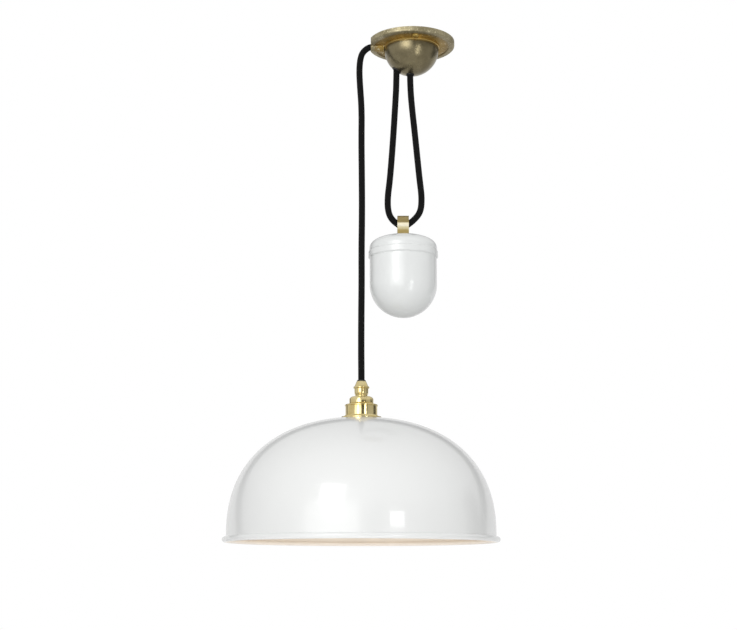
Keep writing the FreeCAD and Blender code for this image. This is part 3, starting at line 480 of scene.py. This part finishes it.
def turned_mesh(name, loop, x, sides, inside_from=None):
    """A mesh turned about the vertical through x from a closed loop of (r, z) in mm. Faces after
    the point inside_from get the second material."""
    points, faces, kinds, rows = [], [], [], []
    for r, z in loop:
        if r < on_axis:
            rows.append([len(points)] * sides)
            points.append((x * mm, 0, z * mm))
            continue
        rows.append([len(points) + k for k in range(sides)])
        for k in range(sides):
            turn = 2 * math.pi * k / sides
            points.append((x * mm + r * mm * math.cos(turn), r * mm * math.sin(turn), z * mm))
    for i in range(len(loop)):
        j = (i + 1) % len(loop)
        for k in range(sides):
            n = (k + 1) % sides
            corners = [rows[i][k], rows[i][n], rows[j][n], rows[j][k]]
            corners = [c for p, c in enumerate(corners) if c not in corners[:p]]
            if len(corners) > 2:
                faces.append(corners)
                kinds.append(1 if inside_from is not None and i >= inside_from else 0)
    mesh = bpy.data.meshes.new(name)
    mesh.from_pydata(points, [], faces)
    for face, kind in zip(mesh.polygons, kinds):
        face.material_index = kind
        face.use_smooth = True
    work = bmesh.new()
    work.from_mesh(mesh)
    bmesh.ops.recalc_face_normals(work, faces=work.faces)
    for edge in work.edges:
        edge.smooth = len(edge.link_faces) == 2 and edge.calc_face_angle(0) < turned_crease
    work.to_mesh(mesh)
    work.free()
    return mesh


def bend(r0, z0, r1, z1, cr, cz, steps):
    """Points on the short arc about (cr, cz) from (r0, z0) to (r1, z1), without the first."""
    a, b = math.atan2(z0 - cz, r0 - cr), math.atan2(z1 - cz, r1 - cr)
    if b - a > math.pi:
        b -= 2 * math.pi
    if a - b > math.pi:
        b += 2 * math.pi
    size0, size1 = math.hypot(r0 - cr, z0 - cz), math.hypot(r1 - cr, z1 - cz)
    arc = []
    for i in range(1, steps + 1):
        t = i / steps
        size = size0 + (size1 - size0) * t
        arc.append((cr + size * math.cos(a + (b - a) * t), cz + size * math.sin(a + (b - a) * t)))
    return arc


gloss_paint, tree = material_tree("white_gloss_paint")
place = add(tree, "ShaderNodeTexCoord")
peel = add(tree, "ShaderNodeTexNoise", {}, {
    "Vector": place.outputs["Object"], "Scale": 160, "Detail": 2})
soft = add(tree, "ShaderNodeTexNoise", {}, {
    "Vector": place.outputs["Object"], "Scale": 20, "Detail": 3})
tone = add(tree, "ShaderNodeValToRGB", {}, {"Fac": soft.outputs["Fac"]})
tone.color_ramp.elements[0].color = linear("#e4e6e5")
tone.color_ramp.elements[1].color = linear("#eceeed")
bump = add(tree, "ShaderNodeBump", {}, {
    "Strength": 0.04, "Distance": 0.0003, "Height": peel.outputs["Fac"]})
surface = add(tree, "ShaderNodeBsdfPrincipled", {}, {
    "Base Color": tone.outputs["Color"], "Roughness": 0.3, "Coat Weight": 0.6,
    "Coat Roughness": 0.07, "Normal": bump.outputs["Normal"]})
add(tree, "ShaderNodeOutputMaterial", {}, {"Surface": surface.outputs["BSDF"]})
fair_copy("weight_lid", gloss_paint, "counterweight")

weight_x, weight_r, weight_inner_r = -12.6, 43.9, 41.4
weight_rim_z, weight_centre_z = -288.3, -334.0
weight_sides, weight_steps = 160, 28
can = [(weight_inner_r, weight_rim_z), (weight_r, weight_rim_z), (weight_r, weight_centre_z)]
weight_low_z, weight_inner_low_z = weight_centre_z - weight_r, weight_centre_z - weight_inner_r
can += bend(weight_r, weight_centre_z, 0, weight_low_z, 0, weight_centre_z, weight_steps)
can += [(0, weight_inner_low_z)]
can += bend(0, weight_inner_low_z, weight_inner_r, weight_centre_z, 0, weight_centre_z,
            weight_steps)
weight_can = put("weight_can", turned_mesh("weight_can", can, weight_x, weight_sides), gloss_paint)
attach(weight_can, "counterweight")
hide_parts("weight_body")

# The slug is left as cast: a dark, rough skin with the mould's sand in it, drawn 3 mm wide.
iron, tree = material_tree("cast_iron")
place = add(tree, "ShaderNodeTexCoord")
sand = add(tree, "ShaderNodeTexNoise", {}, {
    "Vector": place.outputs["Object"], "Scale": 350, "Detail": 5})
tone = add(tree, "ShaderNodeValToRGB", {}, {"Fac": sand.outputs["Fac"]})
tone.color_ramp.elements[0].color = linear("#2b2b2d")
tone.color_ramp.elements[1].color = linear("#4a4a4c")
bump = add(tree, "ShaderNodeBump", {}, {
    "Strength": 0.6, "Distance": 0.0004, "Height": sand.outputs["Fac"]})
surface = add(tree, "ShaderNodeBsdfPrincipled", {}, {
    "Base Color": tone.outputs["Color"], "Metallic": 0.6, "Roughness": 0.7,
    "Normal": bump.outputs["Normal"]})
add(tree, "ShaderNodeOutputMaterial", {}, {"Surface": surface.outputs["BSDF"]})
finish_node(iron, "ballast")


# ---- Cord grip and lampholder. Turned and spun brass, polished and lacquered: a clear yellow
# mirror, slightly dulled by a film in patches 11 mm wide. The grip's nut screws down on the insert,
# and its body screws into the cap.
polished, tree = material_tree("polished_brass")
place = add(tree, "ShaderNodeTexCoord")
film = add(tree, "ShaderNodeTexNoise", {}, {
    "Vector": place.outputs["Object"], "Scale": 90, "Detail": 4})
tone = add(tree, "ShaderNodeValToRGB", {}, {"Fac": film.outputs["Fac"]})
tone.color_ramp.elements[0].position = 0.3
tone.color_ramp.elements[0].color = linear("#d2bc7c")
tone.color_ramp.elements[1].position = 0.75
tone.color_ramp.elements[1].color = linear("#ecdca8")
rough = add(tree, "ShaderNodeMapRange", {}, {
    "Value": film.outputs["Fac"], "From Min": 0.3, "From Max": 0.7, "To Min": 0.08, "To Max": 0.16})
surface = add(tree, "ShaderNodeBsdfPrincipled", {}, {
    "Base Color": tone.outputs["Color"], "Metallic": 1.0, "Roughness": rough.outputs["Result"]})
add(tree, "ShaderNodeOutputMaterial", {}, {"Surface": surface.outputs["BSDF"]})
for name in ("grip_nut", "grip_body", "holder_cap", "holder_skirt", "shade_ring"):
    fair_copy(name, polished, "shade")


# The neck's thread, which the nut that holds the shade runs on: rolled ridges at an even pitch,
# each drawn as a ring.
def thread_tree():
    """A tree that stacks rolled ridges down from a height. Sizes are in metres."""
    tree = bpy.data.node_groups.new("neck_thread", "GeometryNodeTree")
    tree.interface.new_socket("Geometry", in_out="INPUT", socket_type="NodeSocketGeometry")
    for label in ("Radius", "Pitch", "Ridge", "Top", "Axis"):
        tree.interface.new_socket(label, in_out="INPUT", socket_type="NodeSocketFloat")
    tree.interface.new_socket("Count", in_out="INPUT", socket_type="NodeSocketInt")
    tree.interface.new_socket("Finish", in_out="INPUT", socket_type="NodeSocketMaterial")
    tree.interface.new_socket("Geometry", in_out="OUTPUT", socket_type="NodeSocketGeometry")
    given = add(tree, "NodeGroupInput").outputs
    ring = add(tree, "GeometryNodeCurvePrimitiveCircle", {}, {
        "Resolution": 96, "Radius": given["Radius"]})
    ridge = add(tree, "GeometryNodeCurvePrimitiveCircle", {}, {
        "Resolution": 6, "Radius": given["Ridge"]})
    rolled = add(tree, "GeometryNodeCurveToMesh", {}, {
        "Curve": ring.outputs["Curve"], "Profile Curve": ridge.outputs["Curve"]})
    start = add(tree, "ShaderNodeCombineXYZ", {}, {"X": given["Axis"], "Z": given["Top"]})
    down = add(tree, "ShaderNodeMath", {"operation": "MULTIPLY"}, {0: given["Pitch"], 1: -1})
    step = add(tree, "ShaderNodeCombineXYZ", {}, {"Z": down.outputs[0]})
    stack = add(tree, "GeometryNodeMeshLine", {}, {
        "Count": given["Count"], "Start Location": start.outputs["Vector"],
        "Offset": step.outputs["Vector"]})
    placed = add(tree, "GeometryNodeInstanceOnPoints", {}, {
        "Points": stack.outputs["Mesh"], "Instance": rolled.outputs["Mesh"]})
    real = add(tree, "GeometryNodeRealizeInstances", {}, {"Geometry": placed.outputs["Instances"]})
    smooth = add(tree, "GeometryNodeSetShadeSmooth", {}, {"Geometry": real.outputs["Geometry"]})
    finish = add(tree, "GeometryNodeSetMaterial", {}, {
        "Geometry": smooth.outputs["Geometry"], "Material": given["Finish"]})
    add(tree, "NodeGroupOutput", {}, {"Geometry": finish.outputs["Geometry"]})
    return tree


def made_by(tree, name, material, **sizes):
    """The piece that a Geometry Nodes tree makes with those inputs, as a plain mesh."""
    seed = put(name + "_seed", bpy.data.meshes.new(name + "_seed"))
    work = seed.modifiers.new("make", "NODES")
    work.node_group = tree
    sockets = {i.name: i.identifier for i in tree.interface.items_tree if i.in_out == "INPUT"}
    for label, value in sizes.items():
        work[sockets[label]] = value
    work[sockets["Finish"]] = material
    return put(name, made_mesh(seed))


head_x = -67.2
neck_thread = made_by(thread_tree(), "neck_thread", polished, Radius=18.6 * mm, Pitch=1.5 * mm,
                      Ridge=0.45 * mm, Top=-518.2 * mm, Axis=head_x * mm, Count=20)
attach(neck_thread, "shade")


# ---- Socket core. Glazed porcelain that carries the threaded shell: a warm white with a wet shine,
# a touch uneven over 12 mm.
porcelain, tree = material_tree("glazed_porcelain")
place = add(tree, "ShaderNodeTexCoord")
cloud = add(tree, "ShaderNodeTexNoise", {}, {"Vector": place.outputs["Object"], "Scale": 80})
tone = add(tree, "ShaderNodeValToRGB", {}, {"Fac": cloud.outputs["Fac"]})
tone.color_ramp.elements[0].color = linear("#e4dfd2")
tone.color_ramp.elements[1].color = linear("#f2efe6")
surface = add(tree, "ShaderNodeBsdfPrincipled", {}, {
    "Base Color": tone.outputs["Color"], "Roughness": 0.15, "Coat Weight": 0.5,
    "Coat Roughness": 0.05})
add(tree, "ShaderNodeOutputMaterial", {}, {"Surface": surface.outputs["BSDF"]})
fair_copy("socket_core", porcelain, "shade")


# ---- Shade. Pressed steel in glossy white vitreous enamel, cream inside, with its edge rolled over
# a wire. It is held between the lampholder's ring and a nut. Its outline is a superellipse.
shade_r, shade_wall, shade_base_z, shade_height = 170.0, 0.8, -655.5, 146.0
shade_power, shade_flat_r, neck_hole_r = 2.3, 26.4, 18.7
bead_centre_r, bead_r, bead_z = 171.5, 3.5, -663.2
shade_sides, dome_steps, bead_steps, cream_steps = 256, 56, 26, 11


def dome_points(inset):
    """The dome's outline from its foot to the edge of the flat on its top."""
    radius, height, power = shade_r - inset, shade_height - inset, 2 / shade_power
    last = math.acos((shade_flat_r / radius) ** (shade_power / 2))
    outline = []
    for i in range(dome_steps + 1):
        turn = last * i / dome_steps
        outline.append((radius * math.cos(turn) ** power,
                        shade_base_z + height * math.sin(turn) ** power))
    return outline


# The profile starts at the neck's hole, goes down the outside and round the rolled edge, and comes
# back up the inside. The cream starts on the underside of the rolled edge.
outside, inside = dome_points(0), dome_points(shade_wall)
rise = math.sqrt(bead_r ** 2 - (bead_centre_r - shade_r) ** 2)
dip = math.sqrt(bead_r ** 2 - (bead_centre_r - shade_r + shade_wall) ** 2)
profile = [(neck_hole_r, inside[-1][1]), (neck_hole_r, outside[-1][1])] + outside[::-1]
profile += [(shade_r, bead_z + rise)]
turn_out = math.atan2(rise, shade_r - bead_centre_r)
turn_in = math.atan2(dip, shade_r - shade_wall - bead_centre_r) - 2 * math.pi
for i in range(1, bead_steps + 1):
    turn = turn_out + (turn_in - turn_out) * i / bead_steps
    profile.append((bead_centre_r + bead_r * math.cos(turn), bead_z + bead_r * math.sin(turn)))
cream_from = len(profile) - cream_steps
profile += inside

# Both enamels are fired glass over steel: a hard gloss that mirrors the windows with soft edges,
# with waves 17 mm wide in the white, and hardly any change of tone across a hand's width.
enamel, tree = material_tree("white_vitreous_enamel")
place = add(tree, "ShaderNodeTexCoord")
peel = add(tree, "ShaderNodeTexNoise", {}, {
    "Vector": place.outputs["Object"], "Scale": 60, "Detail": 2})
soft = add(tree, "ShaderNodeTexNoise", {}, {
    "Vector": place.outputs["Object"], "Scale": 9, "Detail": 3})
tone = add(tree, "ShaderNodeValToRGB", {}, {"Fac": soft.outputs["Fac"]})
tone.color_ramp.elements[0].color = linear("#e9eae9")
tone.color_ramp.elements[1].color = linear("#f1f2f1")
bump = add(tree, "ShaderNodeBump", {}, {
    "Strength": 0.04, "Distance": 0.0006, "Height": peel.outputs["Fac"]})
surface = add(tree, "ShaderNodeBsdfPrincipled", {}, {
    "Base Color": tone.outputs["Color"], "Roughness": 0.32, "Coat Weight": 0.75,
    "Coat Roughness": 0.06, "Normal": bump.outputs["Normal"]})
add(tree, "ShaderNodeOutputMaterial", {}, {"Surface": surface.outputs["BSDF"]})

cream, tree = material_tree("cream_vitreous_enamel")
place = add(tree, "ShaderNodeTexCoord")
soft = add(tree, "ShaderNodeTexNoise", {}, {
    "Vector": place.outputs["Object"], "Scale": 12, "Detail": 3})
tone = add(tree, "ShaderNodeValToRGB", {}, {"Fac": soft.outputs["Fac"]})
tone.color_ramp.elements[0].color = linear("#f4eadd")
tone.color_ramp.elements[1].color = linear("#faf0e3")
surface = add(tree, "ShaderNodeBsdfPrincipled", {}, {
    "Base Color": tone.outputs["Color"], "Roughness": 0.3, "Coat Weight": 0.5,
    "Coat Roughness": 0.1})
add(tree, "ShaderNodeOutputMaterial", {}, {"Surface": surface.outputs["BSDF"]})

dome_mesh = turned_mesh("shade_dome", profile, head_x, shade_sides, cream_from)
dome = put("shade_dome", dome_mesh, enamel, cream)
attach(dome, "shade")
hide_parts("shade")


# ---- Surroundings. A pale painted floor far below, a white room, and windows in front of the
# pendant. The room is white to the lens, and even and grey to dull faces.
floor_z, floor_reach = -2.1, 6
floor_mesh = bpy.data.meshes.new("floor")
floor_corners = [(x * floor_reach, y * floor_reach, floor_z)
                 for x, y in ((-1, -1), (1, -1), (1, 1), (-1, 1))]
floor_mesh.from_pydata(floor_corners, [], [(0, 1, 2, 3)])
floor_paint, tree = material_tree("pale_floor")
surface = add(tree, "ShaderNodeBsdfPrincipled", {}, {
    "Base Color": linear("#e8e8e8"), "Roughness": 0.8})
add(tree, "ShaderNodeOutputMaterial", {}, {"Surface": surface.outputs["BSDF"]})
put("floor", floor_mesh, floor_paint)

# What shiny brass mirrors of the room at the pendant's own height, as degrees round from the front
# and brightness: a wide bright blind, a dark doorway to the right of it, and dimmer walls. The
# first two are the ramp's own ends.
card_edges = [(-180, 0.7), (180, 0.7), (-126, 0.55), (-118, 0.72), (-50, 0.78), (-45, 2.2),
              (-4, 2.2), (2, 0.12), (22, 0.14), (26, 0.4), (33, 0.4), (37, 0.12), (41, 0.14),
              (46, 0.52), (96, 0.56), (101, 0.08), (115, 0.08), (121, 0.75)]
world = bpy.data.worlds.new("room")
bpy.context.scene.world = world
world.use_nodes = True
tree = world.node_tree
tree.nodes.clear()
ray = add(tree, "ShaderNodeLightPath")
seen = add(tree, "ShaderNodeMath", {"operation": "MAXIMUM"}, {
    0: ray.outputs["Is Camera Ray"], 1: ray.outputs["Is Transmission Ray"]})

# How far round the room a direction is picks its card.
direction = add(tree, "ShaderNodeTexCoord")
split = add(tree, "ShaderNodeSeparateXYZ", {}, {"Vector": direction.outputs["Generated"]})
ahead = add(tree, "ShaderNodeMath", {"operation": "MULTIPLY"}, {0: split.outputs["Y"], 1: -1})
turn = add(tree, "ShaderNodeMath", {"operation": "ARCTAN2"}, {
    0: split.outputs["X"], 1: ahead.outputs[0]})
round_room = add(tree, "ShaderNodeMapRange", {}, {
    "Value": turn.outputs[0], "From Min": -math.pi, "From Max": math.pi})
cards = add(tree, "ShaderNodeValToRGB", {}, {"Fac": round_room.outputs["Result"]})
for stop, (degrees, grey) in enumerate(card_edges):
    place_on, stops = (degrees + 180) / 360, cards.color_ramp.elements
    edge = stops[stop] if stop < 2 else stops.new(place_on)
    edge.position = place_on
    edge.color = (grey, grey, grey, 1)

# Higher up is an even ceiling, lower down a dimmer floor, and behind a pale backdrop that leans
# back from a dark skirting.
even = add(tree, "ShaderNodeMapRange", {}, {
    "Value": split.outputs["Z"], "From Min": 0.25, "From Max": 0.42})
walls = add(tree, "ShaderNodeMix", {"data_type": "RGBA"}, {
    "Factor": even.outputs["Result"], "A": cards.outputs["Color"], "B": (0.8, 0.8, 0.8, 1)})
low = add(tree, "ShaderNodeMapRange", {}, {
    "Value": split.outputs["Z"], "From Min": -0.15, "From Max": -0.35})
room = add(tree, "ShaderNodeMix", {"data_type": "RGBA"}, {
    "Factor": low.outputs["Result"], "A": walls.outputs["Result"], "B": (0.55, 0.55, 0.55, 1)})
sweep = add(tree, "ShaderNodeMath", {"operation": "MULTIPLY_ADD"}, {
    0: split.outputs["Z"], 1: -0.7, 2: split.outputs["Y"]})
behind = add(tree, "ShaderNodeMapRange", {}, {
    "Value": sweep.outputs[0], "From Min": 0.52, "From Max": 0.58})
backed = add(tree, "ShaderNodeMix", {"data_type": "RGBA"}, {
    "Factor": behind.outputs["Result"], "A": room.outputs["Result"], "B": (0.85, 0.85, 0.85, 1)})
skirting = add(tree, "ShaderNodeValToRGB", {}, {"Fac": sweep.outputs[0]})
skirting.color_ramp.elements[0].position = 0.38
skirting.color_ramp.elements[1].position = 0.66
skirting.color_ramp.elements[0].color = skirting.color_ramp.elements[1].color = (1, 1, 1, 1)
for place_on in (0.46, 0.58):
    skirting.color_ramp.elements.new(place_on).color = (0.2, 0.2, 0.2, 1)
mirrors = add(tree, "ShaderNodeMix", {"data_type": "RGBA", "blend_type": "MULTIPLY"}, {
    "Factor": 1.0, "A": backed.outputs["Result"], "B": skirting.outputs["Color"]})

# Dull faces get the fill, the lens the white, and shiny faces the room.
fill = add(tree, "ShaderNodeBackground", {}, {"Color": (1, 1, 1, 1), "Strength": 0.63})
shown = add(tree, "ShaderNodeBackground", {}, {"Color": (1, 1, 1, 1), "Strength": 1.0})
mirrored = add(tree, "ShaderNodeBackground", {}, {
    "Color": mirrors.outputs["Result"], "Strength": 1.0})
glossy = add(tree, "ShaderNodeMixShader", {}, {
    0: ray.outputs["Is Glossy Ray"], 1: fill.outputs[0], 2: mirrored.outputs[0]})
mixed = add(tree, "ShaderNodeMixShader", {}, {
    0: seen.outputs[0], 1: glossy.outputs[0], 2: shown.outputs[0]})
add(tree, "ShaderNodeOutputWorld", {}, {"Surface": mixed.outputs[0]})

# Four windows, a soft front light, a table top that lights the inside of the shade, and a low
# reflector. Each is set by the point it lights, then degrees round from the front, degrees up,
# distance, width, height, watts, and whether shiny faces show it.
for name, point, turn, rise_by, away, wide, tall, power, shiny in (
        ("window_high", (-0.106, -0.16, -0.616), -26, 28, 2.1, 0.78, 0.83, 6.2, True),
        ("window_middle", (-0.023, -0.04, -0.335), -25, 5.5, 2.1, 0.40, 0.42, 1.7, True),
        ("window_far", (-0.0245, -0.16, -0.645), 30, 8, 2.1, 0.46, 0.36, 2.6, True),
        ("window_low", (-0.003, -0.04, -0.345), 27, -19, 2.1, 0.32, 0.85, 3.6, True),
        ("soft_front", (-0.06, 0, -0.45), -14, 8, 2.1, 1.40, 1.20, 8.2, False),
        ("table", (-0.067, 0, -0.66), -8, -76, 0.5, 0.30, 0.30, 1.1, False),
        ("reflector", (-0.06, 0, -0.60), -4, -62, 2.1, 1.20, 1.20, 20.0, False)):
    turn, rise_by = math.radians(turn), math.radians(rise_by)
    level = math.cos(rise_by)
    way = Vector((level * math.sin(turn), -level * math.cos(turn), math.sin(rise_by)))
    lamp = bpy.data.objects.new(name, bpy.data.lights.new(name, "AREA"))
    lamp.data.shape = "RECTANGLE"
    lamp.data.size = wide
    lamp.data.size_y = tall
    lamp.data.energy = power
    lamp.location = Vector(point) + way * away
    lamp.rotation_euler = (-way).to_track_quat("-Z", "Y").to_euler()
    lamp.visible_glossy = shiny
    bpy.context.scene.collection.objects.link(lamp)

bpy.context.scene.view_settings.view_transform = "Standard"
